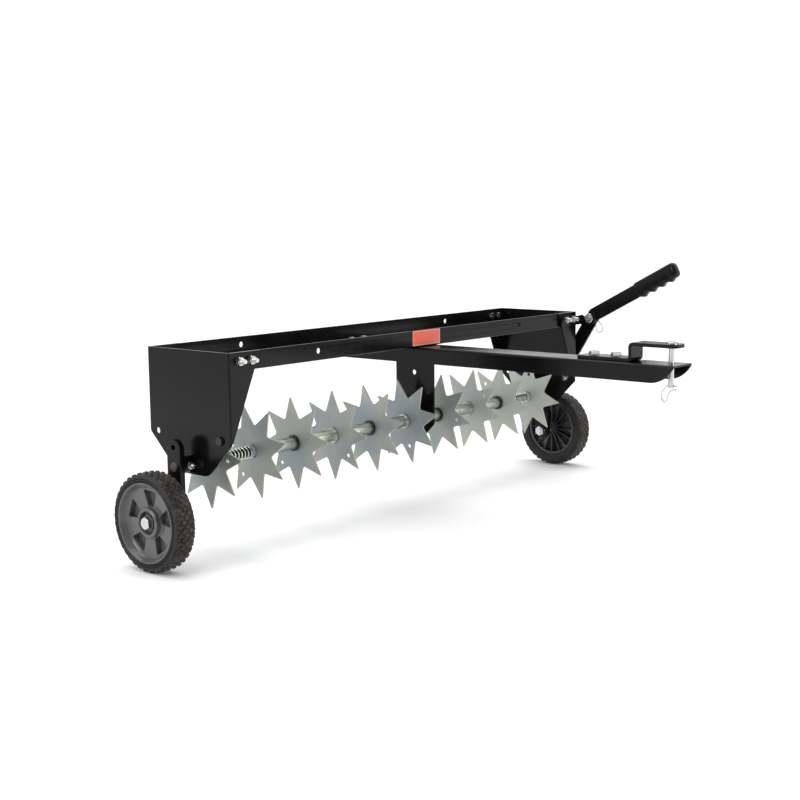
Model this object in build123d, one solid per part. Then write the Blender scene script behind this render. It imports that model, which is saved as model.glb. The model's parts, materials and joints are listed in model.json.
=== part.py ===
from build123d import *
import math
import os

# Tow-behind star-wheel spike aerator, 40 in wide, in millimetres.
# +Z is up, +Y is forward (towards the drawbar), +X is the machine's right-hand side.
# Everything is drawn about the star shaft (y = 0, z = 0), then placed so that the
# row's origin is the centre of the footprint, on the ground.

WIDTH = 1016.0            # over the end plates
SHEET = 3.0               # frame sheet
PLATE_REAR = -96.0        # end plate, rear edge
PLATE_FRONT = 104.0       # end plate, front face
PLATE_TOP = 190.0
PLATE_BOTTOM = -16.0
RAIL_H = 31.0             # upright leg of the cross rails
RAIL_LEG = 31.0           # lower leg of the cross rails
RAIL_BOTTOM = PLATE_TOP - RAIL_H
RAIL_HOLE_X = 297.0       # free holes in the rails
RAIL_HOLE_Z = 175.5
RAIL_HOLE_R = 5.0
CORNER_BOLT_X = (460.0, 486.0)
BOLT_R = 3.95             # M8 class bolts
BOLT_HOLE_R = 4.3

TONGUE_W = 63.5           # inverted channel
TONGUE_H = 30.0
TONGUE_REAR = -84.0
TONGUE_FRONT = 632.0
HITCH_Y = 611.0           # hitch pin axis
STRAP_W = 38.0
STRAP_T = 6.0
STRAP_RISE = 25.0         # clear height of the strap over the tongue
STRAP_BOLT_Y = (464.0, 507.0)
STRAP_FRONT = 629.0
STRAP_NOSE_R = 12.0       # corner radius of the strap's front end
SECOND_HOLE_Y = 561.0     # spare hole through strap and tongue

SHAFT_R = 7.95            # star shaft
FIT = 0.08                # radial running clearance
STAR_COUNT = 10
STAR_PITCH = 103.4
LAST_STAR_OUT = 8.0       # the left-hand star sits this much further out
STAR_R = 84.0
STAR_VALLEY_R = 45.0
STAR_T = 2.5
STAR_CLOCKING = (5, -120, -129, -43, 192, -77, -7, 36, 130, 85)   # degrees, right to left
TUBE_R = 11.3             # spacer tubes
RING_R = 14.3             # face rings beside the stars
SPRING_RING_R = 11.8      # the same where a spring bears on the ring
SPRING_GAPS = (0, STAR_COUNT - 2)
HANGER_X = -86.0          # centre bearing plate
HANGER_HALF = 48.0

ARM_IN = 530.0            # wheel arm, inner face
ARM_OUT = 540.0           # wheel arm, outer face
ARM_W = 32.0
SLEEVE_R = 14.0
SLEEVE_MID = 516.5        # cross bolt through sleeve and shaft
SLEEVE_BOLT_R = 2.9
WHEEL_DROP = 83.0         # wheel axle below the star shaft
WHEEL_R = 82.5
WHEEL_W = 39.0
WHEEL_X = 585.0           # wheel mid-plane
RIM_R = 66.5
AXLE_R = 6.35             # wheel bolt
HUB_SEAT = 12.4           # outer end of the hub tube, from the wheel's mid-plane
WINDOW_COUNT = 5
WINDOW_FIRST = 87.0       # angle of the first hub window

BAR_X = (-530.0, -524.0)  # lift handle bar
BAR_W = 28.6
ELBOW = (137.0, 183.3)    # bend of the handle bar
LOWER_DIR = (0.5306, 0.8476)
UPPER_DIR = (0.8866, 0.4626)
LOWER_LEN = 250.0
UPPER_LEN = 219.0
GRIP_LEN = 102.0
LOCK_PIN = (131.5, 176.3)
EAR_X = (-519.5, -516.0)

SHAFT_Y = -267.0          # star shaft in the row frame
SHAFT_Z = WHEEL_DROP + WHEEL_R


def slab(x0, x1, y0, y1, z0, z1):
    return Pos((x0 + x1) / 2, (y0 + y1) / 2, (z0 + z1) / 2) * Box(x1 - x0, y1 - y0, z1 - z0)


def rod_x(r, x0, x1, y=0.0, z=0.0):
    return Pos((x0 + x1) / 2, y, z) * Rot(0, 90, 0) * Cylinder(r, x1 - x0)


def rod_y(r, y0, y1, x=0.0, z=0.0):
    return Pos(x, (y0 + y1) / 2, z) * Rot(90, 0, 0) * Cylinder(r, y1 - y0)


def rod_z(r, z0, z1, x=0.0, y=0.0):
    return Pos(x, y, (z0 + z1) / 2) * Cylinder(r, z1 - z0)


def tube_x(r_in, r_out, x0, x1, y=0.0, z=0.0):
    return rod_x(r_out, x0, x1, y, z) - rod_x(r_in, x0 - 1, x1 + 1, y, z)


def plate_yz(points, x0, x1):
    face = make_face(Plane.YZ * Polyline(*points, close=True))
    return Pos(x0, 0, 0) * extrude(face, x1 - x0, dir=(1, 0, 0))


def plate_xz(points, y0, y1):
    face = make_face(Plane.XZ * Polyline(*points, close=True))
    return Pos(0, y0, 0) * extrude(face, y1 - y0, dir=(0, 1, 0))


TURN = {"+x": Rot(0, 90, 0), "-x": Rot(0, -90, 0), "+y": Rot(-90, 0, 0), "-y": Rot(90, 0, 0),
        "+z": Location(), "-z": Rot(180, 0, 0)}


def hex_prism(across, height, spin=0):
    prism = extrude(RegularPolygon(across / 2, 6, major_radius=False, rotation=spin), height)
    cone = Cone(across * 0.5 + height * 1.7, across * 0.49, height * 1.0,
                align=(Align.CENTER, Align.CENTER, Align.MIN))
    return prism & (cone + Cylinder(across * 0.55, height * 0.8,
                                    align=(Align.CENTER, Align.CENTER, Align.MIN)))


def bolt(at, way, length, r=BOLT_R, across=13.0, head=5.5):
    """Hex bolt: the underside of its head is at `at`, and the head stands out along `way`."""
    shank = Cylinder(r, length, align=(Align.CENTER, Align.CENTER, Align.MAX))
    shank = chamfer(shank.edges().sort_by(Axis.Z)[0], r * 0.2)
    return Pos(*at) * TURN[way] * (shank + hex_prism(across, head))


def nut(at, way, r=BOLT_R, across=13.0, height=6.5, flange=7.0):
    """Hex nut on a thin washer face seated at `at`, standing out along `way`."""
    body = Pos(0, 0, 1.5) * hex_prism(across, height - 1.5)
    body += Cylinder(flange, 1.5, align=(Align.CENTER, Align.CENTER, Align.MIN))
    body -= Cylinder(r + 0.02, 4 * height)
    return Pos(*at) * TURN[way] * body


def mirror_x(shape):
    return mirror(shape, about=Plane.YZ)


def flange_width(z):
    return 4 + (z - 41) * 0.44


# ---------------------------------------------------------------- frame
def end_plate():
    """Right-hand end plate: folded sheet with tapering front and rear flanges."""
    x1 = WIDTH / 2
    x0 = x1 - SHEET
    drop = PLATE_BOTTOM
    outline = [(PLATE_REAR, PLATE_TOP), (PLATE_FRONT, PLATE_TOP), (PLATE_FRONT, 40), (48, drop),
               (-30, drop), (PLATE_REAR, 50)]
    web = plate_yz(outline, x0, x1)
    low = [e for e in web.edges().filter_by(Axis.X) if e.center().Z < PLATE_BOTTOM + 1]
    web = fillet(low, 24)
    top_in = x1 - flange_width(PLATE_TOP)
    front = [(x1, 40), (x1 - flange_width(44), 44), (top_in, PLATE_TOP), (x1, PLATE_TOP)]
    rear = [(x1, 50), (x1 - flange_width(54), 54), (top_in, PLATE_TOP), (x1, PLATE_TOP)]
    web += plate_xz(front, PLATE_FRONT - SHEET, PLATE_FRONT)
    web += plate_xz(rear, PLATE_REAR, PLATE_REAR + SHEET)
    folds = [e for e in web.edges().filter_by(Axis.Z) if e.center().X > x1 - 0.1 and e.length > 100]
    web = fillet(folds, 3.5)
    web -= rod_x(11, x0 - 5, x1 + 5)
    web -= rod_x(5.3, x0 - 5, x1 + 5, -75, 49)
    web -= rod_x(BOLT_HOLE_R, x0 - 5, x1 + 5, 79, 46)
    for bx in CORNER_BOLT_X:
        web -= rod_y(BOLT_HOLE_R, PLATE_REAR - 5, PLATE_FRONT + 5, bx, RAIL_HOLE_Z)
    return web


def rail(front):
    """Angle rail between the end plates: upright leg outside, lower leg turned inwards."""
    half = WIDTH / 2 - SHEET - 0.5
    outer = PLATE_FRONT - SHEET if front else PLATE_REAR + SHEET
    way = -1 if front else 1
    y_in = outer + way * SHEET
    y_leg = outer + way * RAIL_LEG
    body = slab(-half, half, min(outer, y_in), max(outer, y_in), RAIL_BOTTOM, PLATE_TOP)
    body += slab(-half, half, min(outer, y_leg), max(outer, y_leg), RAIL_BOTTOM, RAIL_BOTTOM + SHEET)
    corner = [e for e in body.edges().filter_by(Axis.X)
              if abs(e.center().Y - outer) < 0.1 and e.center().Z < RAIL_BOTTOM + 0.1]
    body = fillet(corner, 2.5)
    for x in (-RAIL_HOLE_X, RAIL_HOLE_X):
        body -= rod_y(RAIL_HOLE_R, -150, 150, x, RAIL_HOLE_Z)
    for x in CORNER_BOLT_X:
        for side in (-x, x):
            body -= rod_y(BOLT_HOLE_R, -150, 150, side, RAIL_HOLE_Z)
    for x in (-TONGUE_BOLT_X, TONGUE_BOLT_X):
        body -= rod_z(BOLT_HOLE_R, RAIL_BOTTOM - 5, RAIL_BOTTOM + 5, x, tongue_bolt_y(front))
    return body


TONGUE_BOLT_X = 17.5


def tongue_bolt_y(front):
    return 84.0 if front else -76.0


def tongue():
    """Inverted channel drawbar, its side flanges cut away in a curve at the front."""
    top = RAIL_BOTTOM
    low = top - TONGUE_H
    half = TONGUE_W / 2
    body = slab(-half, half, TONGUE_REAR, TONGUE_FRONT, low, top)
    upper = [e for e in body.edges().filter_by(Axis.Y) if e.center().Z > top - 0.1]
    body = fillet(upper, 4.5)
    hollow = slab(-half + SHEET, half - SHEET, TONGUE_REAR - 1, TONGUE_FRONT + 1, low - 1, top - SHEET)
    hollow = fillet([e for e in hollow.edges().filter_by(Axis.Y) if e.center().Z > low], 1.5)
    body -= hollow
    nose = Plane.YZ * Polyline((592, low), (TONGUE_FRONT + 5, low), (TONGUE_FRONT + 5, top - 2),
                               (TONGUE_FRONT, top - 2))
    bow = Plane.YZ * ThreePointArc((592, low), (618, low + 10.5), (TONGUE_FRONT, top - 2))
    body -= extrude(make_face([*nose.edges(), *bow.edges()]), 2 * half, both=True, dir=(1, 0, 0))
    for y in (HITCH_Y, SECOND_HOLE_Y):
        body -= rod_z(5.2, low, top + 5, 0, y)
    for y in STRAP_BOLT_Y:
        body -= rod_z(5.3, low, top + 5, 0, y)
    for x in (-TONGUE_BOLT_X, TONGUE_BOLT_X):
        for y in (tongue_bolt_y(True), tongue_bolt_y(False)):
            body -= rod_z(BOLT_HOLE_R, low, top + 5, x, y)
    for y in (-25, 25):
        body -= rod_z(BOLT_HOLE_R, low, top + 5, 0, y)
    return body


def bends_at(bar, riser, z_a, z_b):
    """Edges across the strap at the riser, at either of two heights."""
    near = [e for e in bar.edges().filter_by(Axis.X) if riser - 1 < e.center().Y < riser + STRAP_T + 1]
    return [e for e in near if abs(e.center().Z - z_a) < 0.1 or abs(e.center().Z - z_b) < 0.1]


def hitch_strap():
    """Flat bar bent up and forward over the tongue, which makes the clevis for the drawbar."""
    z0 = RAIL_BOTTOM
    z1 = z0 + STRAP_T
    z3 = z0 + STRAP_RISE + 8
    z2 = z3 - STRAP_T
    riser = 541.0
    section = [(440, z0), (riser + STRAP_T, z0), (riser + STRAP_T, z2), (STRAP_FRONT, z2),
               (STRAP_FRONT, z3),
               (riser, z3), (riser, z1), (440, z1)]
    bar = plate_yz(section, -STRAP_W / 2, STRAP_W / 2)
    bar = fillet(bends_at(bar, riser, z0, z3), 8)
    bar = fillet(bends_at(bar, riser, z1, z2), 2.5)
    upright = bar.edges().filter_by(Axis.Z)
    bar = fillet([e for e in upright if e.center().Y > STRAP_FRONT - 1], STRAP_NOSE_R)
    bar = fillet([e for e in bar.edges().filter_by(Axis.Z) if e.center().Y < 441], 5)
    for y in (HITCH_Y, SECOND_HOLE_Y):
        bar -= rod_z(5.2, z2 - 5, z3 + 5, 0, y)
    for y in STRAP_BOLT_Y:
        bar -= rod_z(5.3, z0 - 5, z1 + 5, 0, y)
    return bar


def center_hanger():
    """Centre bearing plate that hangs from the tongue, with its head turned over the channel."""
    x0 = HANGER_X
    x1 = HANGER_X + SHEET
    top = RAIL_BOTTOM + SHEET
    h = HANGER_HALF
    outline = [(-h, top), (h, top), (h, -6), (24, -30), (-24, -30), (-h, -6)]
    body = plate_yz(outline, x0, x1)
    body += slab(x0, 27, -h, h, RAIL_BOTTOM, top)
    corner = [e for e in body.edges().filter_by(Axis.Y) if e.center().X < x0 + 0.1 and e.center().Z > top - 1]
    body = fillet(corner, 4.5)
    body -= rod_x(11, x0 - 5, x1 + 5)
    body -= rod_x(4.8, x0 - 5, x1 + 5, -2, 93.5)
    for y in (-25, 25):
        body -= rod_z(BOLT_HOLE_R, top - 10, top + 5, 0, y)
    return body


def lock_bracket():
    """Angle on the left front flange, with an ear whose open hook takes the lock pin."""
    y0 = PLATE_FRONT
    leg = slab(EAR_X[0], -446, y0, y0 + 3.5, 162, 181)
    ear = plate_yz([(y0, 162), (136, 162), (146, 170), (146, 184), (139, 190), (y0, 181)], *EAR_X)
    body = leg + ear
    py, pz = LOCK_PIN
    slot = rod_x(5.1, EAR_X[0] - 1, EAR_X[1] + 1, py, pz)
    reach = math.hypot(py, pz)
    ring = tube_x(reach - 5.1, reach + 5.1, EAR_X[0] - 1, EAR_X[1] + 1)
    wedge = plate_yz([(0, 0), (py * 1.2, pz * 1.2), (60, 260), (-60, 260)], EAR_X[0] - 1, EAR_X[1] + 1)
    body -= slot
    body -= ring & wedge
    for x in CORNER_BOLT_X:
        body -= rod_y(BOLT_HOLE_R, y0 - 5, y0 + 9, -x, RAIL_HOLE_Z)
    return body


def label_plate():
    y = PLATE_FRONT - SHEET
    plate = slab(-35, 45, y, y + 0.8, RAIL_BOTTOM + 3, PLATE_TOP - 1)
    return fillet(plate.edges().filter_by(Axis.Y), 1.5)


def rail_bolts():
    out = []
    for x in CORNER_BOLT_X:
        for s in (-x, x):
            extra = 3.5 if s < 0 else 0
            out.append(bolt((s, PLATE_FRONT - 2 * SHEET, RAIL_HOLE_Z), "-y", 22 + extra))
            out.append(bolt((s, PLATE_REAR + 2 * SHEET, RAIL_HOLE_Z), "+y", 20))
    return out


def rail_nuts():
    out = []
    for x in CORNER_BOLT_X:
        for s in (-x, x):
            y = PLATE_FRONT + (3.5 if s < 0 else 0)
            out.append(nut((s, y, RAIL_HOLE_Z), "+y"))
            out.append(nut((s, PLATE_REAR, RAIL_HOLE_Z), "-y"))
    return out


def tongue_bolts():
    out = []
    for x in (-TONGUE_BOLT_X, TONGUE_BOLT_X):
        for front in (True, False):
            out.append(bolt((x, tongue_bolt_y(front), RAIL_BOTTOM + SHEET), "+z", 17))
    for y in (-25, 25):
        out.append(bolt((0, y, RAIL_BOTTOM + SHEET), "+z", 17))
    for y in STRAP_BOLT_Y:
        out.append(bolt((0, y, RAIL_BOTTOM + STRAP_T), "+z", 22, 4.9, 16.0, 6.5))
    return out


def tongue_nuts():
    z = RAIL_BOTTOM - SHEET
    out = []
    for x in (-TONGUE_BOLT_X, TONGUE_BOLT_X):
        for front in (True, False):
            out.append(nut((x, tongue_bolt_y(front), z), "-z"))
    for y in (-25, 25):
        out.append(nut((0, y, z), "-z"))
    for y in STRAP_BOLT_Y:
        out.append(nut((0, y, z), "-z", 4.9, 16.0, 8.5, 8.8))
    return out


def stop_bolts():
    x = WIDTH / 2
    return [bolt((x, 79, 46), "+x", 15, BOLT_R, 13.0, 4.5), bolt((-x, 79, 46), "-x", 15, BOLT_R, 13.0, 4.5)]


def stop_nuts():
    x = WIDTH / 2 - SHEET
    return [nut((x, 79, 46), "-x"), nut((-x, 79, 46), "+x")]


def shaft_bushings():
    """Flanged plain bearings in the two end plates and in the centre hanger."""
    x = WIDTH / 2
    side = tube_x(SHAFT_R + FIT, 11, x - SHEET, x)
    side += tube_x(SHAFT_R + FIT, 16, x - SHEET - 3, x - SHEET)
    middle = tube_x(SHAFT_R + FIT, 11, HANGER_X, HANGER_X + SHEET)
    middle += tube_x(SHAFT_R + FIT, 15, HANGER_X - 2.5, HANGER_X)
    middle += tube_x(SHAFT_R + FIT, 15, HANGER_X + SHEET, HANGER_X + SHEET + 2.5)
    return [side, mirror_x(side), middle]


# ---------------------------------------------------------------- star shaft
def star_x(i):
    x = STAR_PITCH * ((STAR_COUNT - 1) / 2 - i)
    return x - LAST_STAR_OUT if i == STAR_COUNT - 1 else x


def star(i):
    """Eight-pointed spike wheel of flat plate, with filleted roots and one small hole."""
    a0 = math.radians(STAR_CLOCKING[i])
    points = []
    for k in range(16):
        r = STAR_R if k % 2 == 0 else STAR_VALLEY_R
        a = a0 + math.pi / 8 * k
        points.append((r * math.cos(a), r * math.sin(a)))
    face = make_face(Polyline(*points, close=True))
    roots = [v for v in face.vertices() if math.hypot(v.X, v.Y) < STAR_VALLEY_R + 1]
    face = fillet(roots, 5.0)
    tips = [v for v in face.vertices() if math.hypot(v.X, v.Y) > STAR_R - 1]
    face = fillet(tips, 0.8)
    face -= Circle(SHAFT_R + FIT)
    face -= Pos(50 * math.cos(a0), 50 * math.sin(a0)) * Circle(3.6)
    blank = extrude(Plane.YZ * face, STAR_T / 2, both=True)
    return Pos(star_x(i), 0, 0) * blank


FACE_GAP = STAR_T / 2 + 0.2
ZINC_RING = 4.0
BLACK_RING = 4.0
BACK_RING = 2.0


def ring_depth(i):
    return ZINC_RING if i % 2 == 1 else BLACK_RING


def star_shaft():
    shaft = rod_x(SHAFT_R, -ARM_OUT - 0.6, ARM_OUT + 0.6)
    shaft = chamfer(shaft.edges().filter_by(GeomType.CIRCLE), 0.5)
    for x in (-SLEEVE_MID, SLEEVE_MID):
        shaft -= rod_y(SLEEVE_BOLT_R + 0.1, -20, 20, x)
    return shaft


def front_rings(zinc):
    out = []
    for i in range(STAR_COUNT):
        if (i % 2 == 1) == zinc:
            x = star_x(i) + FACE_GAP
            radius = SPRING_RING_R if i - 1 in SPRING_GAPS else RING_R
            out.append(tube_x(SHAFT_R, radius, x, x + ring_depth(i)))
    return out


def back_rings():
    out = []
    for i in range(STAR_COUNT):
        x = star_x(i) - FACE_GAP
        out.append(tube_x(SHAFT_R, RING_R, x - BACK_RING, x))
    return out


def spacer_span(i):
    """Free length behind star i, up to the front ring of star i + 1."""
    return (star_x(i + 1) + FACE_GAP + ring_depth(i + 1), star_x(i) - FACE_GAP - BACK_RING)


def shaft_spacers():
    out = []
    for i in range(1, STAR_COUNT - 2):
        lo, hi = spacer_span(i)
        if lo < HANGER_X < hi:
            out.append(tube_x(SHAFT_R, TUBE_R, lo, HANGER_X - 2.9))
            out.append(tube_x(SHAFT_R, TUBE_R, HANGER_X + SHEET + 2.9, hi))
        else:
            out.append(tube_x(SHAFT_R, TUBE_R, lo, hi))
    end = WIDTH / 2 - SHEET - 3.4
    out.append(tube_x(SHAFT_R, TUBE_R, star_x(0) + FACE_GAP + ring_depth(0), end))
    out.append(tube_x(SHAFT_R, TUBE_R, -end, star_x(STAR_COUNT - 1) - FACE_GAP - BACK_RING))
    return out


SPRING_R = 9.75           # mean coil radius
SPRING_WIRE = 1.32        # corner radius of the sixteen-sided wire section
WIRE_SIDES = 16
SPRING_PITCH = 7.6
SPRING_WASHER = 3.0


def spring_sleeves():
    """Dark sleeve on the shaft inside each spring, with a washer at its outer end."""
    out = []
    for i in SPRING_GAPS:
        lo, hi = spacer_span(i)
        washer = tube_x(SHAFT_R, 11.2, lo, lo + SPRING_WASHER)
        out.append(washer + tube_x(SHAFT_R, 8.35, lo, hi))
    return out


def shaft_springs():
    """Compression springs that load the outer stars at both ends."""
    out = []
    for i in SPRING_GAPS:
        lo, hi = spacer_span(i)
        start = lo + SPRING_WASHER + SPRING_WIRE
        coil = Helix(SPRING_PITCH, hi - SPRING_WIRE - start, SPRING_R)
        wire = Plane(coil @ 0, z_dir=coil % 0) * RegularPolygon(SPRING_WIRE, WIRE_SIDES)
        spring = sweep(wire, path=coil, is_frenet=True)
        out.append(Pos(start, 0, 0) * Rot(0, 90, 0) * spring)
    return out


# ---------------------------------------------------------------- lift
def wheel_arm():
    r = ARM_W / 2
    body = slab(ARM_IN, ARM_OUT, -r, r, -WHEEL_DROP, 29)
    body += rod_x(r, ARM_IN, ARM_OUT, 0, -WHEEL_DROP)
    body += rod_x(r, ARM_IN, ARM_OUT, 0, 29)
    body -= rod_x(SHAFT_R, ARM_IN - 1, ARM_OUT + 1)
    body -= rod_x(AXLE_R, ARM_IN - 1, ARM_OUT + 1, 0, -WHEEL_DROP)
    body -= rod_x(4.5, ARM_IN - 1, ARM_OUT + 1, 0, 32)
    return body


def foot_bolt_at():
    return (ELBOW[0] - LOWER_DIR[0] * LOWER_LEN, ELBOW[1] - LOWER_DIR[1] * LOWER_LEN)


def left_arm():
    y, z = foot_bolt_at()
    return mirror_x(wheel_arm()) - rod_x(BOLT_HOLE_R, -ARM_OUT - 1, -ARM_IN + 1, y, z)


def arm_sleeves():
    side = tube_x(SHAFT_R, SLEEVE_R, WIDTH / 2 + 1.5, ARM_IN)
    side -= rod_y(SLEEVE_BOLT_R + 0.1, -20, 20, SLEEVE_MID)
    return [side, mirror_x(side)]


def sleeve_bolts():
    return [bolt((x, -SLEEVE_R, 0), "-y", 38, SLEEVE_BOLT_R, 10.0, 4.0) for x in (-SLEEVE_MID, SLEEVE_MID)]


def sleeve_nuts():
    return [nut((x, SLEEVE_R, 0), "+y", SLEEVE_BOLT_R, 10.0, 6.0, 6.5) for x in (-SLEEVE_MID, SLEEVE_MID)]


def bar_strip(start, end, width):
    """Rectangle of the given width along the line from start to end, in the YZ plane."""
    dy = end[0] - start[0]
    dz = end[1] - start[1]
    n = math.hypot(dy, dz)
    uy = -dz / n * width / 2
    uz = dy / n * width / 2
    return [(start[0] + uy, start[1] + uz), (end[0] + uy, end[1] + uz),
            (end[0] - uy, end[1] - uz), (start[0] - uy, start[1] - uz)]


def bar_tip():
    return (ELBOW[0] + UPPER_DIR[0] * UPPER_LEN, ELBOW[1] + UPPER_DIR[1] * UPPER_LEN)


def handle_bar():
    """Flat bar from the left arm up past the lock pin, then bent forward to the grip."""
    x0, x1 = BAR_X
    foot = foot_bolt_at()
    body = plate_yz(bar_strip(foot, ELBOW, BAR_W), x0, x1)
    body += plate_yz(bar_strip(ELBOW, bar_tip(), BAR_W), x0, x1)
    body += rod_x(BAR_W / 2, x0, x1, *ELBOW)
    body += rod_x(BAR_W / 2, x0, x1, *foot)
    body -= rod_x(SLEEVE_R, x0 - 1, x1 + 1)
    body -= rod_x(BOLT_HOLE_R, x0 - 1, x1 + 1, *foot)
    body -= rod_x(5.0, x0 - 1, x1 + 1, *LOCK_PIN)
    return body


def along_bar(s, off):
    """Point s past the elbow along the upper bar, `off` above its centreline."""
    y = ELBOW[0] + UPPER_DIR[0] * s - UPPER_DIR[1] * off
    z = ELBOW[1] + UPPER_DIR[1] * s + UPPER_DIR[0] * off
    return (y, z)


def handle_grip():
    """Moulded grip with four finger bumps underneath, closed at its end."""
    s0 = UPPER_LEN + 3 - GRIP_LEN
    s1 = UPPER_LEN + 3
    top = 17.0
    under = [along_bar(s0, -16.2)]
    step = (GRIP_LEN - 14) / 4
    for k in range(4):
        s = s0 + 6 + step * k
        under.append(along_bar(s, -16.4))
        under.append(along_bar(s + step / 2, -20.0))
    under.append(along_bar(s0 + 6 + step * 4, -16.4))
    under.append(along_bar(s1, -12.0))
    wave = Plane.YZ * Spline(*under)
    rest = Plane.YZ * Polyline(along_bar(s1, -12.0), along_bar(s1, top - 4), along_bar(s1 - 5, top),
                               along_bar(s0, top), along_bar(s0, -16.2))
    mid = (BAR_X[0] + BAR_X[1]) / 2
    face = make_face([*wave.edges(), *rest.edges()])
    body = Pos(mid, 0, 0) * extrude(face, 12.0, both=True, dir=(1, 0, 0))
    sides = [f for f in body.faces() if abs(f.center().X - mid) > 11.5]
    body = chamfer([e for f in sides for e in f.edges()], 4.0)
    start = along_bar(s0 - 5, 0)
    core = plate_yz(bar_strip(start, bar_tip(), BAR_W), *BAR_X)
    return body - core


def handle_bolt():
    foot = foot_bolt_at()
    return bolt((BAR_X[1], *foot), "+x", 27)


def handle_nut():
    return nut((-ARM_OUT, *foot_bolt_at()), "-x")


def wheel_bolt():
    r = AXLE_R
    seat = WHEEL_X + HUB_SEAT + 0.4
    body = rod_x(r, ARM_IN - 12, seat, 0, -WHEEL_DROP)
    return body + bolt((seat, 0, -WHEEL_DROP), "+x", 5, r, 19.0, 7.0)


def wheel_bolts():
    one = wheel_bolt()
    return [one, mirror_x(one)]


def wheel_nuts():
    one = nut((ARM_IN, 0, -WHEEL_DROP), "-x", AXLE_R, 19.0, 10.0, 10.0)
    return [one, mirror_x(one)]


def wheel_spacers():
    one = tube_x(AXLE_R, 10.5, ARM_OUT, WHEEL_X - 31, 0, -WHEEL_DROP)
    return [one, mirror_x(one)]


# ---------------------------------------------------------------- wheels
def turned(profile, spin_x=WHEEL_X):
    """Solid turned about the wheel axle from (radius, offset from mid-plane) points."""
    face = make_face(Plane.XZ * Polyline(*[(u, r) for r, u in profile], close=True))
    body = revolve(face, Axis.X)
    return Pos(spin_x, 0, -WHEEL_DROP) * body


def tyre():
    w = WHEEL_W / 2
    return turned([(59, -16), (66, -w + 0.5), (75, -w), (80.5, -w + 3.5), (WHEEL_R, -12), (WHEEL_R, 12),
                   (80.5, w - 3.5), (75, w), (RIM_R + 0.6, w - 1), (60.5, 8), (59, 6)])


def hub_core():
    """Black wheel centre: barrel and hub tube joined by sixteen ribs, open to the inside."""
    bore = AXLE_R + FIT
    body = turned([(54, -15.5), (58.8, -15.5), (58.8, 1), (54, 1)])
    body += turned([(bore, 1), (bore, -30.5), (15, -30.5), (15, 1)])
    ribs = Part()
    for k in range(16):
        ribs += Rot(22.5 * k, 0, 0) * slab(-14, 1, -0.9, 0.9, 13.5, 55)
    body += Pos(WHEEL_X, 0, -WHEEL_DROP) * ribs
    return body - window_prisms(POCKET_WALL + 0.1, POCKET_BACK - 0.1, 2)


def hub_cover():
    """Grey wheel face: a dish with an outer lip, a raised hub ring and five deep pockets."""
    bore = AXLE_R + FIT
    body = turned([(bore, 1.2), (58.8, 1.2), (58.8, 6), (60.2, 8), (RIM_R, 18.2), (RIM_R - 0.5, 20), (64, 20),
                   (62.3, 17), (60.6, 13.6), (58.4, 10.4), (56, 8.4), (53.5, 7.6), (28.5, 6.6), (25.6, 7.6),
                   (25, 14.4), (22.8, 16), (20, 15.7), (18.8, 14.5), (18.8, 6), (12.5, 6), (12.5, HUB_SEAT),
                   (bore, HUB_SEAT)])
    body += window_prisms(POCKET_WALL, POCKET_BACK, 5)
    return body - window_prisms(0, POCKET_BACK + POCKET_WALL, 30)


POCKET_BACK = -4.0        # back of the pockets, from the wheel's mid-plane
POCKET_WALL = 1.5


def window_face(grow):
    """Outline of a hub window, its sides close to radial, made larger all round by `grow`."""
    near = 26.5 - grow
    far = 52.5 + grow
    points = [(-6.5 - grow, near), (6.5 + grow, near), (17.5 + grow, far), (-17.5 - grow, far)]
    face = make_face(Polyline(*points, close=True))
    return fillet(face.vertices(), 2.5 + grow)


def window_prisms(grow, u0, u1):
    """The five window outlines as prisms, between two offsets from the wheel's mid-plane."""
    prism = extrude(Plane.YZ * window_face(grow), u1 - u0, dir=(1, 0, 0))
    turns = [360 / WINDOW_COUNT * k + WINDOW_FIRST - 90 for k in range(WINDOW_COUNT)]
    return Part() + [Pos(WHEEL_X + u0, 0, -WHEEL_DROP) * Rot(turn, 0, 0) * prism for turn in turns]


# ---------------------------------------------------------------- pins
def clevis_pin(head_r, head_t, r, length, hole_at):
    """Pin along -Z, underside of the head at z = 0, with a cross hole along Y."""
    pin = Cylinder(head_r, head_t, align=(Align.CENTER, Align.CENTER, Align.MIN))
    pin = chamfer(pin.edges().sort_by(Axis.Z)[-1], 0.8)
    shank = Cylinder(r, length, align=(Align.CENTER, Align.CENTER, Align.MAX))
    pin += chamfer(shank.edges().sort_by(Axis.Z)[0], 1.2)
    return pin - rod_y(1.6, -r - 2, r + 2, 0, -hole_at)


def hairpin(length, r_pin, loop, wire=1.0):
    """Retaining clip in the XY plane: one leg along Y at x = 0 through the pin, a loop behind it."""
    x1 = r_pin + wire + 0.4
    mid = x1 / 2
    end = -length
    pts = [(0, 11, 0), (0, end + 9, 0), (mid - 0.8 * loop, end, 0), (mid - loop, end - loop, 0),
           (mid - 0.5 * loop, end - 1.8 * loop, 0), (mid + 0.5 * loop, end - 1.8 * loop, 0),
           (mid + loop, end - loop, 0), (mid + 0.8 * loop, end, 0), (x1, end + 9, 0), (x1, 2, 0),
           (x1 + 2.5, 8, 0)]
    path = FilletPolyline(*pts, radius=2.4)
    return sweep(Plane(path @ 0, z_dir=path % 0) * Circle(wire), path=path)


HITCH_PIN_HOLE = 69.5


def hitch_pin():
    z = RAIL_BOTTOM + STRAP_RISE + 8
    return Pos(0, HITCH_Y, z) * clevis_pin(9.5, 3.0, 4.75, 73, HITCH_PIN_HOLE)


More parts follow.
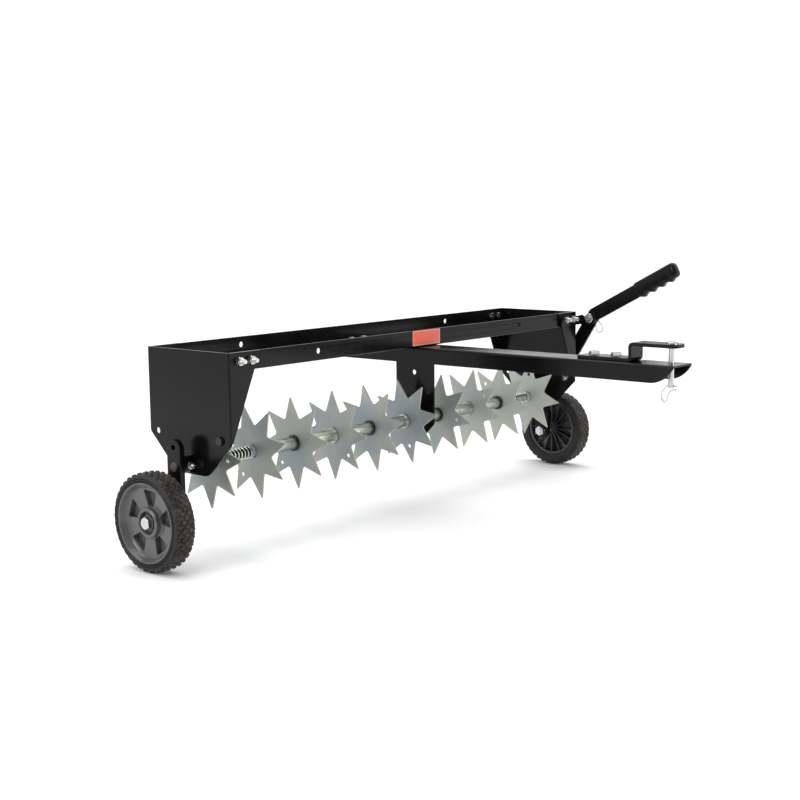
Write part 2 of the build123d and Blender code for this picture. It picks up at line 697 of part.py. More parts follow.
def hitch_hairpin():
    """Wire clip in the YZ plane: its leg lies in the pin's cross hole and its loop hangs behind."""
    z = RAIL_BOTTOM + STRAP_RISE + 8 - HITCH_PIN_HOLE
    pts = [(0, 11, 0), (0, -6.5, 0), (0, -16, -10), (0, -17.5, -21), (0, -12, -29.5), (0, -7, -24),
           (0, -5, -14), (0, 1.5, -6.5), (0, 10, -5.5)]
    path = FilletPolyline(*pts, radius=3.0)
    wire = sweep(Plane(path @ 0, z_dir=path % 0) * Circle(1.1), path=path)
    return Pos(0, HITCH_Y, z) * wire


LOCK_TURN = 113.0         # the lock pin's cross hole leans down and forward
LOCK_PIN_HOLE = 20.5


def lock_pin():
    pin = clevis_pin(10.0, 4.4, 4.85, 25, LOCK_PIN_HOLE)
    return Pos(EAR_X[1], *LOCK_PIN) * Rot(LOCK_TURN, 0, 0) * Rot(0, 90, 0) * pin


def lock_hairpin():
    clip = Rot(LOCK_TURN, 0, 0) * Rot(0, 90, 0) * hairpin(19, 4.85, 8.5)
    return Pos(EAR_X[1] - LOCK_PIN_HOLE, *LOCK_PIN) * clip


def save(name, shape):
    if isinstance(shape, list):
        shape = Compound(children=shape)
    export_step(Pos(0, SHAFT_Y, SHAFT_Z) * shape, "parts/" + name + ".step")


def main():
    os.makedirs("parts", exist_ok=True)
    plate = end_plate()
    save("end_plate_right", plate)
    save("end_plate_left", mirror_x(plate))
    save("front_rail", rail(True))
    save("rear_rail", rail(False))
    save("tongue", tongue())
    save("hitch_strap", hitch_strap())
    save("center_hanger", center_hanger())
    save("lock_bracket", lock_bracket())
    save("label_plate", label_plate())
    save("rail_bolts", rail_bolts())
    save("rail_nuts", rail_nuts())
    save("tongue_bolts", tongue_bolts())
    save("tongue_nuts", tongue_nuts())
    save("stop_bolts", stop_bolts())
    save("stop_nuts", stop_nuts())
    save("shaft_bushings", shaft_bushings())
    save("star_shaft", star_shaft())
    save("shaft_spacers", shaft_spacers())
    save("rings_zinc", front_rings(True))
    save("rings_black", front_rings(False) + spring_sleeves())
    save("rings_back", back_rings())
    save("shaft_springs", shaft_springs())
    save("arm_right", wheel_arm())
    save("arm_left", left_arm())
    save("arm_sleeves", arm_sleeves())
    save("sleeve_bolts", sleeve_bolts())
    save("sleeve_nuts", sleeve_nuts())
    save("handle_bar", handle_bar())
    save("handle_grip", handle_grip())
    save("handle_bolt", handle_bolt())
    save("handle_nut", handle_nut())
    save("wheel_bolts", wheel_bolts())
    save("wheel_nuts", wheel_nuts())
    save("wheel_spacers", wheel_spacers())
    for side, place in (("right", lambda s: s), ("left", mirror_x)):
        save("tyre_" + side, place(tyre()))
        save("hub_core_" + side, place(hub_core()))
        save("hub_cover_" + side, place(hub_cover()))
    for i in range(STAR_COUNT):
        save("star_" + "abcdefghij"[i], star(i))
    save("hitch_pin", hitch_pin())
    save("hitch_hairpin", hitch_hairpin())
    save("lock_pin", lock_pin())
    save("lock_hairpin", lock_hairpin())


main()
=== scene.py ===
import json
import math

import bmesh
import bpy
import numpy as np
from mathutils import Matrix, Vector


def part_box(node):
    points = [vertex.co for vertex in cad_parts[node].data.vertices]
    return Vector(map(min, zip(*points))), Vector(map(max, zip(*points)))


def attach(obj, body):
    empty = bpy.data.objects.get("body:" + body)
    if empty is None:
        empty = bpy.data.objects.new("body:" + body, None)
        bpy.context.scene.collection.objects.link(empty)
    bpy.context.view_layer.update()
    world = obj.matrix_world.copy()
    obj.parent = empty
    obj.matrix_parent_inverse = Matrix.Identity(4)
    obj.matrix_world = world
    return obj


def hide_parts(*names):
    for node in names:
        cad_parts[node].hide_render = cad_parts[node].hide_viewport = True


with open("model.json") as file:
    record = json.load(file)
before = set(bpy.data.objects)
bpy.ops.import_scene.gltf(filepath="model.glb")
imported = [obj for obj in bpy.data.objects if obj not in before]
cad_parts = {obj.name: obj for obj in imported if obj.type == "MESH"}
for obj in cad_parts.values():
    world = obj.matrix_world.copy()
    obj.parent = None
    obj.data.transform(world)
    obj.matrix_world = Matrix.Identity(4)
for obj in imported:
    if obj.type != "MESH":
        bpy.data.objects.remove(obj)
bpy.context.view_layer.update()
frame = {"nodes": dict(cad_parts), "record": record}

SCENE = bpy.context.scene
MM = 0.001
SAME_POINT = 1e-6         # vertices this close are one


# ---------------------------------------------------------------- where things are
def middle(node):
    lo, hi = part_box(node)
    return (lo + hi) / 2


def solids(node):
    """(lowest, highest) corner of each separate solid of a CAD node."""
    bm = bmesh.new()
    bm.from_mesh(frame["nodes"][node].data)
    bmesh.ops.remove_doubles(bm, verts=bm.verts, dist=SAME_POINT)
    left = set(bm.verts)
    found = []
    while left:
        stack = [left.pop()]
        group = list(stack)
        while stack:
            for edge in stack.pop().link_edges:
                for v in edge.verts:
                    if v in left:
                        left.remove(v)
                        stack.append(v)
                        group.append(v)
        co = np.array([v.co for v in group])
        found.append((Vector(co.min(0)), Vector(co.max(0))))
    bm.free()
    return found


def by_corner(node):
    """The solids of a node in a fixed order, by their lowest corner."""
    return sorted(solids(node), key=lambda box: tuple(box[0]))


SHAFT = middle("star_shaft")


# ---------------------------------------------------------------- materials
class Nodes:
    """Small helper for a principled material with procedural detail in object space."""

    def __init__(self, name):
        self.mat = bpy.data.materials.new(name)
        self.mat.use_nodes = True
        self.tree = self.mat.node_tree
        self.tree.nodes.clear()
        out = self.add("ShaderNodeOutputMaterial")
        self.shader = self.add("ShaderNodeBsdfPrincipled")
        self.link(self.shader.outputs[0], out.inputs[0])
        self.coords = self.add("ShaderNodeTexCoord")

    def add(self, kind, **props):
        node = self.tree.nodes.new(kind)
        for key, value in props.items():
            setattr(node, key, value)
        return node

    def link(self, a, b):
        self.tree.links.new(a, b)

    def set(self, **values):
        for key, value in values.items():
            self.shader.inputs[key.replace("_", " ")].default_value = value

    def noise(self, scale, detail=3.0, rough=0.5):
        tex = self.add("ShaderNodeTexNoise")
        tex.inputs["Scale"].default_value = scale
        tex.inputs["Detail"].default_value = detail
        tex.inputs["Roughness"].default_value = rough
        self.link(self.coords.outputs["Object"], tex.inputs["Vector"])
        return tex.outputs["Fac"]

    def ramp(self, value, lo, hi, out_lo=0.0, out_hi=1.0):
        """Smooth step from out_lo to out_hi as the value goes from lo to hi."""
        node = self.add("ShaderNodeMapRange", interpolation_type="SMOOTHSTEP")
        self.link(value, node.inputs["Value"])
        for key, number in (("From Min", lo), ("From Max", hi), ("To Min", out_lo), ("To Max", out_hi)):
            node.inputs[key].default_value = number
        return node.outputs[0]

    def mix(self, factor, a, b):
        """Colour mix. a and b are colours or sockets."""
        node = self.add("ShaderNodeMix", data_type="RGBA")
        self.link(factor, node.inputs["Factor"])
        for socket, value in ((node.inputs[6], a), (node.inputs[7], b)):
            if isinstance(value, tuple):
                socket.default_value = (*value, 1.0)
            else:
                self.link(value, socket)
        return node.outputs[2]

    def math(self, op, a, b=None):
        node = self.add("ShaderNodeMath", operation=op)
        for socket, value in zip(node.inputs, (a, b)):
            if value is None:
                continue
            if isinstance(value, (int, float)):
                socket.default_value = value
            else:
                self.link(value, socket)
        return node.outputs[0]

    def axis(self, output, letter):
        node = self.add("ShaderNodeSeparateXYZ")
        self.link(self.coords.outputs[output], node.inputs[0])
        return node.outputs[letter]

    def reach(self, centre):
        """Distance from an axis that runs along X through the centre."""
        y = self.math("SUBTRACT", self.axis("Object", "Y"), centre.y)
        z = self.math("SUBTRACT", self.axis("Object", "Z"), centre.z)
        return self.math("SQRT", self.math("ADD", self.math("MULTIPLY", y, y), self.math("MULTIPLY", z, z)))

    def colour(self, socket):
        self.link(socket, self.shader.inputs["Base Color"])

    def roughness(self, socket):
        self.link(socket, self.shader.inputs["Roughness"])

    def bump(self, value, distance, strength=1.0):
        node = self.add("ShaderNodeBump")
        node.inputs["Strength"].default_value = strength
        node.inputs["Distance"].default_value = distance
        self.link(value, node.inputs["Height"])
        self.link(node.outputs[0], self.shader.inputs["Normal"])


def powder_coat():
    """Glossy black powder coat: faint clouding, slight orange peel."""
    n = Nodes("black_powder_coat")
    cloud = n.noise(9, 3, 0.5)
    n.colour(n.mix(n.ramp(cloud, 0.35, 0.7), (0.0030, 0.0029, 0.0029), (0.0060, 0.0055, 0.0052)))
    n.roughness(n.ramp(n.noise(22, 3, 0.5), 0.3, 0.7, 0.15, 0.22))
    n.bump(n.noise(260, 1.5, 0.4), 0.00004, 0.5)
    n.set(Specular_IOR_Level=0.165)
    return n.mat


WASHER = 3.0 * MM         # thickness of the washer at the left end of each spring
WASHER_EDGE = 0.1 * MM    # width over which its colour changes


def black_rings():
    """Black rings, and black sleeves on the shaft under the springs whose black is partly the shaft's own
    dark colour and partly painted shade between the coils. The washer at each spring is zinc, found by its
    place in X.
    """
    n = Nodes("ring_black")
    x = n.axis("Object", "X")
    at_washer = None
    for lo, _ in by_corner("shaft_springs"):
        left = lo.x - WASHER - WASHER_EDGE
        right = lo.x + WASHER_EDGE
        inside = n.math("MULTIPLY", n.ramp(x, left - WASHER_EDGE / 2, left + WASHER_EDGE / 2),
                        n.ramp(x, right + WASHER_EDGE / 2, right - WASHER_EDGE / 2))
        at_washer = inside if at_washer is None else n.math("ADD", at_washer, inside)
    # This black also covers the sleeves under the springs, where it is partly painted shade between the
    # coils.
    black = n.mix(n.ramp(n.noise(40, 3, 0.5), 0.4, 0.6), (0.008, 0.008, 0.008), (0.013, 0.013, 0.013))
    n.colour(n.mix(at_washer, black, (0.45, 0.46, 0.45)))
    n.roughness(n.ramp(n.noise(60, 3, 0.5), 0.3, 0.7, 0.3, 0.42))
    return n.mat


def zinc():
    """Zinc-plated star plate: cool grey, warmer at the points, yellowish cut edges, and painted light that
    makes it paler to the left.
    """
    n = Nodes("star_zinc")
    cloud = n.noise(13, 4, 0.55)
    blue = (0.24, 0.28, 0.305)
    warm = (0.37, 0.385, 0.34)
    brown = (0.33, 0.305, 0.25)
    # pale is the colour of painted light, mixed in towards -X below.
    pale = (0.52, 0.545, 0.49)
    cut_edge = (0.40, 0.365, 0.24)
    tips = n.math("MULTIPLY", n.ramp(n.reach(SHAFT), 0.03, 0.085), 0.3)
    blend = n.math("ADD", n.math("MULTIPLY", n.ramp(cloud, 0.38, 0.64), 0.8), tips)
    face = n.mix(blend, blue, warm)
    stain = n.ramp(n.noise(34, 4, 0.6), 0.56, 0.74, 0.0, 0.35)
    face = n.mix(stain, face, brown)
    # Painted light: the plates turn paler towards -X, standing in for brighter reflected light on those
    # stars.
    face = n.mix(n.ramp(n.axis("Object", "X"), -0.02, -0.34, 0.0, 0.6), face, pale)
    side = n.math("ABSOLUTE", n.axis("Normal", "X"))
    n.colour(n.mix(n.ramp(side, 0.35, 0.75), cut_edge, face))
    n.roughness(n.ramp(n.noise(26, 4, 0.6), 0.3, 0.7, 0.42, 0.55))
    n.bump(n.noise(120, 2, 0.5), 0.00003, 0.05)
    n.set(Metallic=0.4)
    return n.mat


def plated(name, colour, rough, edge=1.0):
    """Plated or bare metal, with painted shade: its colour falls to the share `edge` where the surface turns
    from the viewer, a painted dark reflection at the rims.
    """
    n = Nodes(name)
    cloud = n.noise(24, 3, 0.5)
    warm = (colour[0], colour[1] * 0.98, colour[2] * 0.9)
    face = n.mix(n.ramp(cloud, 0.42, 0.62), colour, warm)
    # Painted shade: Layer Weight facing darkens the colour at grazing angles, standing in for dark
    # reflections.
    painted_shade_facing = n.add("ShaderNodeLayerWeight")
    painted_shade_facing.inputs["Blend"].default_value = 0.5
    dark = tuple(c * edge for c in colour)
    n.colour(n.mix(n.ramp(painted_shade_facing.outputs["Facing"], 0.35, 0.85), face, dark))
    n.roughness(n.ramp(n.noise(60, 3, 0.5), 0.3, 0.7, rough * 0.8, rough * 1.25))
    n.bump(n.noise(150, 1.5, 0.4), 0.00002, 0.02)
    n.set(Metallic=0.95)
    return n.mat


def plastic(name, dark, light, rough, grain, coat=0.0, shine=0.5):
    """Moulded plastic with faint clouding and a fine grain."""
    n = Nodes(name)
    n.colour(n.mix(n.ramp(n.noise(30, 3, 0.5), 0.35, 0.7), dark, light))
    n.roughness(n.ramp(n.noise(70, 3, 0.5), 0.3, 0.7, rough * 0.85, rough * 1.15))
    n.bump(n.noise(700, 1.5, 0.4), grain, 0.4)
    n.set(Coat_Weight=coat, Coat_Roughness=0.08, Specular_IOR_Level=shine)
    return n.mat


def rubber():
    """Solid tyre: dark brown-grey rubber, dustier where it stands highest."""
    n = Nodes("tyre_rubber")
    crown = n.ramp(n.reach(middle("tyre_right")), 0.0735, 0.081)
    share = n.math("ADD", n.math("MULTIPLY", crown, 0.8), 0.2)
    dust = n.math("MULTIPLY", n.ramp(n.noise(48, 4, 0.6), 0.35, 0.72), share)
    n.colour(n.mix(dust, (0.0085, 0.0070, 0.0063), (0.048, 0.041, 0.034)))
    n.roughness(n.ramp(n.noise(90, 3, 0.5), 0.3, 0.7, 0.42, 0.58))
    n.bump(n.noise(420, 3, 0.55), 0.0001, 0.6)
    n.set(Specular_IOR_Level=0.3)
    return n.mat


def label_print(node):
    """Plain printed label: a red field and a thin pale margin, with no lettering."""
    n = Nodes("label_print")
    lo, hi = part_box(node)
    inside = None
    for letter, low, high in (("X", lo.x, hi.x), ("Z", lo.z, hi.z)):
        off_centre = n.math("ABSOLUTE", n.math("SUBTRACT", n.axis("Object", letter), (low + high) / 2))
        depth = n.math("SUBTRACT", (high - low) / 2, off_centre)
        inside = depth if inside is None else n.math("MINIMUM", inside, depth)
    margin = n.ramp(inside, 0.0006, 0.0011)
    red = n.mix(n.ramp(n.noise(300, 3, 0.6), 0.3, 0.7), (0.68, 0.072, 0.028), (0.73, 0.088, 0.037))
    n.colour(n.mix(margin, (0.72, 0.5, 0.44), red))
    n.roughness(n.ramp(n.noise(200, 3, 0.5), 0.3, 0.7, 0.3, 0.4))
    n.bump(n.noise(700, 2, 0.5), 0.00002)
    n.set(Coat_Weight=0.1, Coat_Roughness=0.1)
    return n.mat


BLACK = powder_coat()
RING_BLACK = black_rings()
STAR_ZINC = zinc()
# The last number of a plated() call is the share of colour left by its painted rim shade.
TUBE_ZINC = plated("tube_zinc", (0.70, 0.715, 0.68), 0.3, 0.4)
RING_ZINC = plated("ring_zinc", (0.52, 0.535, 0.53), 0.42, 0.35)
BOLT_ZINC = plated("bolt_zinc", (0.52, 0.53, 0.53), 0.2, 0.2)
SHAFT_STEEL = plated("shaft_steel", (0.10, 0.088, 0.078), 0.38)
DARK_BOLT = plated("dark_bolt", (0.055, 0.052, 0.049), 0.34)
BLACK_PLASTIC = plastic("black_plastic", (0.008, 0.008, 0.008), (0.013, 0.013, 0.013), 0.4, 0.00002)
GREY_PLASTIC = plastic("grey_plastic", (0.086, 0.086, 0.088), (0.093, 0.093, 0.096), 0.2,
                       0.000004, 0.2, 0.3)
CORE_PLASTIC = plastic("core_plastic", (0.038, 0.038, 0.041), (0.050, 0.050, 0.054), 0.26, 0.00001,
                       0.1, 0.3)
GRIP_VINYL = plastic("grip_vinyl", (0.0035, 0.0033, 0.0032), (0.006, 0.0057, 0.0054), 0.26, 0.00002,
                     0.08, 0.14)
RUBBER = rubber()
LABEL = label_print("label_plate")

BY_SLOT = {"black_coat": BLACK, "zinc": BOLT_ZINC, "label_red": LABEL, "black_plastic": BLACK_PLASTIC,
           "grey_plastic": GREY_PLASTIC, "grip_black": GRIP_VINYL, "tyre_rubber": RUBBER}
SPECIAL = {"rings_black": RING_BLACK, "rings_zinc": RING_ZINC, "rings_back": RING_ZINC,
           "shaft_spacers": TUBE_ZINC, "shaft_springs": TUBE_ZINC, "star_shaft": SHAFT_STEEL,
           "stop_bolts": DARK_BOLT}


def dress():
    """Gives each CAD node its material, by its slot unless the node has one of its own."""
    for part in frame["record"]["subparts"]:
        node = part["node"]
        mat = SPECIAL.get(node, BY_SLOT[part["material_slot"]])
        if node.startswith("star_") and node not in SPECIAL:
            mat = STAR_ZINC
        elif node.startswith("hub_core"):
            mat = CORE_PLASTIC
        obj = frame["nodes"][node]
        obj.data.materials.clear()
        obj.data.materials.append(mat)


SHARP_ANGLE = 38          # degrees between faces from which an edge is rounded
EDGE_WIDTH = 0.45 * MM


def soften(nodes):
    """Rounds the sharp edges of CAD nodes by a fraction of a millimetre, with modifiers only."""
    for node in nodes:
        obj = frame["nodes"][node]
        weld = obj.modifiers.new("weld", "WELD")
        weld.merge_threshold = SAME_POINT
        bevel = obj.modifiers.new("edge", "BEVEL")
        bevel.width = EDGE_WIDTH
        bevel.segments = 2
        bevel.limit_method = "ANGLE"
        bevel.angle_limit = math.radians(SHARP_ANGLE)
        bevel.miter_outer = "MITER_ARC"
        shade = obj.modifiers.new("shade", "WEIGHTED_NORMAL")
        shade.keep_sharp = False


# ---------------------------------------------------------------- new pieces
def piece(name, verts, faces, mat, body):
    mesh = bpy.data.meshes.new(name)
    mesh.from_pydata([tuple(v) for v in verts], [], faces)
    mesh.validate()
    mesh.materials.append(mat)
    obj = bpy.data.objects.new(name, mesh)
    SCENE.collection.objects.link(obj)
    for p in mesh.polygons:
        p.use_smooth = True
    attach(obj, body)
    return obj


def lattice(rings, close_rings=True):
    """Faces between rings of equal length, each ring closed."""
    faces = []
    count = len(rings)
    size = len(rings[0])
    last = count if close_rings else count - 1
    for i in range(last):
        for k in range(size):
            a = i * size + k
            b = i * size + (k + 1) % size
            c = ((i + 1) % count) * size + (k + 1) % size
            d = ((i + 1) % count) * size + k
            faces.append((a, b, c, d))
    return faces


def smoothstep(lo, hi, v):
    t = np.clip((v - lo) / (hi - lo), 0, 1)
    return t * t * (3 - 2 * t)


TYRE_STEPS = 600          # points round the tyre
TREAD_COUNT = 36          # diamonds round the tyre
TREAD_DEPTH = 2.7 * MM
TREAD_LEAN = 13.6         # distance across, in mm, in which a groove moves round by one diamond
GROOVE = (0.27, 0.43)     # from the middle of a diamond: where its groove starts and reaches full depth
TREAD_FADE = (0.15, 0.75)
SHOULDER_R = 74.2
SHOULDER_RISE = 7.6
SHOULDER_OUT = 14.4
SHOULDER_SWELL = 4.9
SHOULDER_STEPS = 8
CROWN_R = 82.5
CROWN_DROP = 0.9
CROWN_HALF = 13.7
CROWN_POINTS = 40


def tyre_section():
    """(radius, offset outwards, tread share) round the tyre's section, in millimetres."""
    points = [(59.2, 6.2, 0), (60.7, 8.2, 0), (66.8, 18.2, 0), (67.2, 19.3, 0), (68.0, 19.3, 0),
              (68.5, 16.9, 0), (69.7, 16.7, 0), (70.2, 19.2, 0), (71.3, 19.3, 0), (71.8, 17.0, 0),
              (73.0, 16.9, 0), (73.5, 19.1, 0), (SHOULDER_R, 19.3, 0)]
    shoulder = []
    for k in range(1, SHOULDER_STEPS + 1):
        a = math.radians(90 * k / SHOULDER_STEPS)
        shoulder.append((SHOULDER_R + SHOULDER_RISE * math.sin(a),
                         SHOULDER_OUT + SHOULDER_SWELL * math.cos(a), k / SHOULDER_STEPS))
    points += shoulder
    for u in np.linspace(CROWN_HALF, -CROWN_HALF, CROWN_POINTS):
        points.append((CROWN_R - CROWN_DROP * (abs(u) / SHOULDER_OUT) ** 4, u, 1.0))
    points += [(r, -u, share) for r, u, share in reversed(shoulder)]
    points += [(SHOULDER_R, -19.3, 0), (72.0, -19.1, 0), (68.0, -18.9, 0), (63, -17.6, 0), (59.2, -15.8, 0)]
    return points


def tyre(side):
    """Tyre with moulded sidewall rings and a tread of diamonds between crossing grooves."""
    node = "tyre_" + side
    body = "wheel_" + side
    out = 1 if side == "right" else -1
    axle = middle(node)
    angles = np.arange(TYRE_STEPS) * 2 * math.pi / TYRE_STEPS
    turns = angles * TREAD_COUNT / (2 * math.pi)
    rings = []
    for r, u, share in tyre_section():
        slant = u / TREAD_LEAN
        depth = np.zeros(TYRE_STEPS)
        if share > 0:
            block = np.ones(TYRE_STEPS)
            for lean in (slant, -slant):
                gap = np.abs((turns + lean + 0.25) % 1.0 - 0.5)
                block *= 1 - smoothstep(*GROOVE, gap)
            depth = (1 - block) * TREAD_DEPTH * smoothstep(*TREAD_FADE, np.array(share))
        radius = r * MM - depth
        rings.append(np.stack([np.full(TYRE_STEPS, axle.x + out * u * MM), axle.y + radius * np.cos(angles),
                               axle.z + radius * np.sin(angles)], 1))
    verts = np.concatenate(rings)
    faces = lattice(rings)
    if out > 0:
        faces = [tuple(reversed(f)) for f in faces]
    obj = piece("tyre_tread_" + side, verts, faces, RUBBER, body)
    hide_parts(node)


GRIP_ALONG = Vector((0, 0.8866, 0.4626))
GRIP_UP = Vector((0, -0.4626, 0.8866))
GRIP_SIDE = 11.4          # half width, mm
GRIP_TOP = 17.0           # from the grip's axis to its top, mm
GRIP_BELOW = 15.6         # and to its underside between the bumps, mm
GRIP_STATIONS = 120
GRIP_POINTS = 48
GRIP_SQUARENESS = 0.62    # 1 is an ellipse, smaller is more square
GRIP_END = 11 * MM        # length over which the end closes
BUMP_COUNT = 4
BUMP_FIRST = 10 * MM
BUMP_PITCH = 23.5 * MM
BUMP_WIDTH = 5.6 * MM
BUMP_SWELL = 0.7          # mm sideways
BUMP_DROP = 3.9           # mm downwards
LAST_RING = 0.7           # size of the closing ring


def grip():
    """Moulded grip with four finger bumps below and a rounded closed end."""
    node = "handle_grip"
    co = np.array([v.co for v in frame["nodes"][node].data.vertices])
    mid_x = middle(node).x
    s_all = co @ np.array(GRIP_ALONG)
    s0 = s_all.min()
    length = s_all.max() - s0
    axis = (co @ np.array(GRIP_UP)).max() - GRIP_TOP * MM
    rings = []
    for i in range(GRIP_STATIONS + 1):
        s = i / GRIP_STATIONS * length
        bump = 0.0
        for k in range(BUMP_COUNT):
            bump += math.exp(-((s - BUMP_FIRST - k * BUMP_PITCH) / BUMP_WIDTH) ** 2)
        end = max(0.0, (s - length + GRIP_END) / GRIP_END)
        close = math.sqrt(max(0.0, 1 - end ** 2.6))
        start = min(1.0, s / (2 * MM))
        lip = 0.93 + 0.07 * math.sqrt(start)
        if i == GRIP_STATIONS:
            lip *= LAST_RING
        half = (GRIP_SIDE + BUMP_SWELL * bump) * MM * (0.35 + 0.65 * close) * lip
        high = GRIP_TOP * MM * (0.45 + 0.55 * close) * lip
        low = (GRIP_BELOW + BUMP_DROP * bump) * MM * (0.45 + 0.55 * close) * lip
        ring = []
        for k in range(GRIP_POINTS):
            a = 2 * math.pi * k / GRIP_POINTS
            c = math.cos(a)
            v = math.sin(a)
            px = math.copysign(abs(c) ** GRIP_SQUARENESS, c) * half
            pz = math.copysign(abs(v) ** GRIP_SQUARENESS, v) * (high if v > 0 else low)
            ring.append(Vector((mid_x + px, 0, 0)) + GRIP_ALONG * (s0 + s) + GRIP_UP * (axis + pz))
        rings.append(ring)
    verts = [v for ring in rings for v in ring]
    faces = [tuple(reversed(f)) for f in lattice(rings, False)]
    faces.append(tuple(range(GRIP_POINTS)))
    faces.append(tuple(reversed(range(GRIP_STATIONS * GRIP_POINTS, (GRIP_STATIONS + 1) * GRIP_POINTS))))
    obj = piece("moulded_grip", verts, faces, GRIP_VINYL, "lift")
    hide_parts(node)


THREAD_PITCH = 1.25 * MM
THREAD_STEPS = 20         # per turn
THREAD_FADE = 1.2 * MM
THREAD_RIDGE = ((0.0, -0.05), (0.42, 0.32), (0.58, 0.32), (1.0, -0.05))   # (share of the pitch, rise in mm)


def thread(name, body, start, end, radius):
    """Helical thread ridges on the bare end of a bolt, from start to end."""
    way = (end - start).normalized()
    side = way.orthogonal().normalized()
    other = way.cross(side)
    length = (end - start).length
    rings = []
    count = max(THREAD_STEPS, int(length / THREAD_PITCH * THREAD_STEPS))
    for i in range(count + 1):
        a = 2 * math.pi * i / THREAD_STEPS
        base = THREAD_PITCH * (i / THREAD_STEPS) - THREAD_PITCH * 0.5
        direction = side * math.cos(a) + other * math.sin(a)
        ring = []
        for share, rise in THREAD_RIDGE:
            s = min(max(base + share * THREAD_PITCH, 0.0), length)
            fade = smoothstep(0.0, THREAD_FADE, np.array(length - s))
            ring.append(start + way * s + direction * (radius + rise * MM * (float(fade) if rise > 0 else 1)))
        rings.append(ring)
    verts = [v for ring in rings for v in ring]
    faces = []
    size = len(THREAD_RIDGE)
    for i in range(count):
        for k in range(size - 1):
            a = i * size + k
            faces.append((a, a + 1, a + size + 1, a + size))
    return piece(name, verts, faces, BOLT_ZINC, body)


def axis_of(lo, hi):
    span = hi - lo
    return max(range(3), key=lambda k: span[k])


SHANKS = ((11.0, 2.9), (14.5, 3.95), (17.5, 4.9), (30.0, 6.35))   # mm: heads narrower than this, shank radius
THREAD_START = 0.8 * MM   # depth inside the nut at which its thread piece begins
SHORTEST_THREAD = 2.0 * MM


def shank_radius(across):
    """Radius of a bolt's shank, from the size of its head across the flats."""
    return next(radius for limit, radius in SHANKS if across < limit * MM) * MM


def threads(bolts, nuts, body):
    """One thread on each bolt of a node, from its nut's outer face to its end."""
    nut_boxes = solids(nuts)
    for i, (lo, hi) in enumerate(by_corner(bolts)):
        k = axis_of(lo, hi)
        mid = (lo + hi) / 2
        others = [j for j in range(3) if j != k]

        def apart(box):
            m = (box[0] + box[1]) / 2
            return sum(abs(m[j] - mid[j]) for j in others) + 0.2 * abs(m[k] - mid[k])

        n_lo, n_hi = min(nut_boxes, key=apart)
        start = mid.copy()
        end = mid.copy()
        if (n_lo[k] + n_hi[k]) / 2 > mid[k]:
            start[k] = n_hi[k] - THREAD_START
            end[k] = hi[k]
        else:
            start[k] = n_lo[k] + THREAD_START
            end[k] = lo[k]
        if abs(end[k] - start[k]) > SHORTEST_THREAD:
            across = min(hi[j] - lo[j] for j in others)
            thread("thread_" + bolts + "_" + str(i), body, start, end, shank_radius(across))


# ---------------------------------------------------------------- stage
FLOOR_HALF = 9.0


def floor():
    mesh = bpy.data.meshes.new("floor")
    corners = [(x * FLOOR_HALF, y * FLOOR_HALF, 0) for x, y in ((-1, -1), (1, -1), (1, 1), (-1, 1))]
    mesh.from_pydata(corners, [], [(0, 1, 2, 3)])
    n = Nodes("floor_paint")
    n.colour(n.mix(n.noise(2.0, 2), (0.86, 0.86, 0.86), (0.89, 0.89, 0.885)))
    n.set(Roughness=0.7)
    mesh.materials.append(n.mat)
    obj = bpy.data.objects.new("floor", mesh)
    SCENE.collection.objects.link(obj)


def softbox(name, at, target, size, power):
    data = bpy.data.lights.new(name, "AREA")
    data.shape = "RECTANGLE"
    data.size = size[0]
    data.size_y = size[1]
    data.energy = power
    obj = bpy.data.objects.new(name, data)
    obj.location = at
    obj.rotation_mode = "QUATERNION"
    obj.rotation_quaternion = (Vector(target) - Vector(at)).to_track_quat("-Z", "Y")
    SCENE.collection.objects.link(obj)


NEAR_SIDE = (0.76, 0.64, 0.0)   # level direction from the machine to the camera
ROOM_FAR = 1.05
ROOM_NEAR = 0.32
SUN_POWER = 1.5


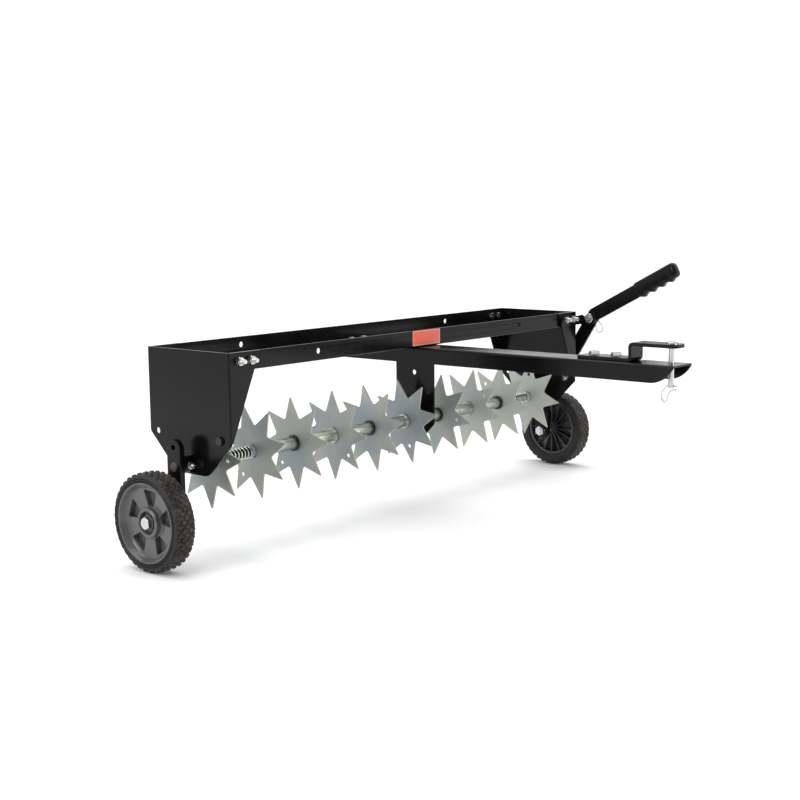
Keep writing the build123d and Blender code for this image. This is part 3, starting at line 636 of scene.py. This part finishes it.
def studio():
    """White sweep behind the machine. The metal sees a room that is darker on the camera's side."""
    world = bpy.data.worlds.new("studio")
    world.use_nodes = True
    tree = world.node_tree
    tree.nodes.clear()
    link = tree.links.new
    coords = tree.nodes.new("ShaderNodeTexCoord")
    near = tree.nodes.new("ShaderNodeVectorMath")
    near.operation = "DOT_PRODUCT"
    near.inputs[1].default_value = NEAR_SIDE
    link(coords.outputs["Generated"], near.inputs[0])
    fade = tree.nodes.new("ShaderNodeMapRange")
    fade.interpolation_type = "SMOOTHSTEP"
    for key, number in (("From Min", 0.1), ("From Max", 0.85), ("To Min", ROOM_FAR), ("To Max", ROOM_NEAR)):
        fade.inputs[key].default_value = number
    link(near.outputs["Value"], fade.inputs["Value"])
    room = tree.nodes.new("ShaderNodeBackground")
    room.inputs[0].default_value = (0.985, 0.992, 1.0, 1)
    link(fade.outputs[0], room.inputs[1])
    sweep = tree.nodes.new("ShaderNodeBackground")
    sweep.inputs[0].default_value = (1, 1, 1, 1)
    sweep.inputs[1].default_value = 1.05
    path = tree.nodes.new("ShaderNodeLightPath")
    both = tree.nodes.new("ShaderNodeMixShader")
    link(path.outputs["Is Camera Ray"], both.inputs[0])
    link(room.outputs[0], both.inputs[1])
    link(sweep.outputs[0], both.inputs[2])
    out = tree.nodes.new("ShaderNodeOutputWorld")
    link(both.outputs[0], out.inputs[0])
    SCENE.world = world
    sun = bpy.data.lights.new("sky_panel", "SUN")
    sun.energy = SUN_POWER
    sun.angle = math.radians(55)
    lamp = bpy.data.objects.new("sky_panel", sun)
    lamp.rotation_euler = (math.radians(8), math.radians(-6), 0)
    SCENE.collection.objects.link(lamp)
    softbox("left_box", (2.7, -0.5, 1.5), (0.2, -0.1, 0.2), (1.2, 1.2), 28)
    softbox("right_box", (-1.3, 2.7, 0.9), (0, 0, 0.2), (1.6, 1.2), 34)
    SCENE.view_settings.view_transform = "Standard"
    SCENE.view_settings.look = "None"


CAMERA_ANGLES = (130.09, 8.14, -0.59)   # azimuth, elevation and roll, degrees
CAMERA_DISTANCE = 2.6268
CAMERA_TARGET = Vector((-0.0342, 0, 0.0455))   # from the middle of the star shaft
CAMERA_LENS = 60.47
CAMERA_SHIFT = (0.0011, -0.0012)


def camera():
    data = bpy.data.cameras.new("photo_camera")
    data.sensor_width = 36
    data.lens = CAMERA_LENS
    data.shift_x, data.shift_y = CAMERA_SHIFT
    data.clip_end = 60
    azimuth, elevation, roll = (math.radians(v) for v in CAMERA_ANGLES)
    back = Vector((math.sin(azimuth) * math.cos(elevation), -math.cos(azimuth) * math.cos(elevation),
                   math.sin(elevation)))
    right = (-back).cross(Vector((0, 0, 1))).normalized()
    up = right.cross(-back)
    cam_x = right * math.cos(roll) + up * math.sin(roll)
    cam_y = up * math.cos(roll) - right * math.sin(roll)
    obj = bpy.data.objects.new("photo_camera", data)
    turn = Matrix((cam_x, cam_y, back)).transposed().to_4x4()
    obj.matrix_world = Matrix.Translation(SHAFT + CAMERA_TARGET + back * CAMERA_DISTANCE) @ turn
    SCENE.collection.objects.link(obj)
    SCENE.camera = obj


FIXINGS = (("rail_bolts", "rail_nuts", "frame"), ("tongue_bolts", "tongue_nuts", "frame"),
           ("stop_bolts", "stop_nuts", "frame"), ("handle_bolt", "handle_nut", "lift"),
           ("sleeve_bolts", "sleeve_nuts", "lift"), ("wheel_bolts", "wheel_nuts", "lift"))
CRISP_SHEET = ("end_plate_right", "end_plate_left", "front_rail", "rear_rail", "tongue", "hitch_strap",
               "center_hanger", "lock_bracket", "arm_right", "arm_left", "handle_bar")

camera()
studio()
floor()
dress()
tyre("right")
tyre("left")
grip()
for bolts_node, nuts_node, its_body in FIXINGS:
    threads(bolts_node, nuts_node, its_body)
soften(CRISP_SHEET)
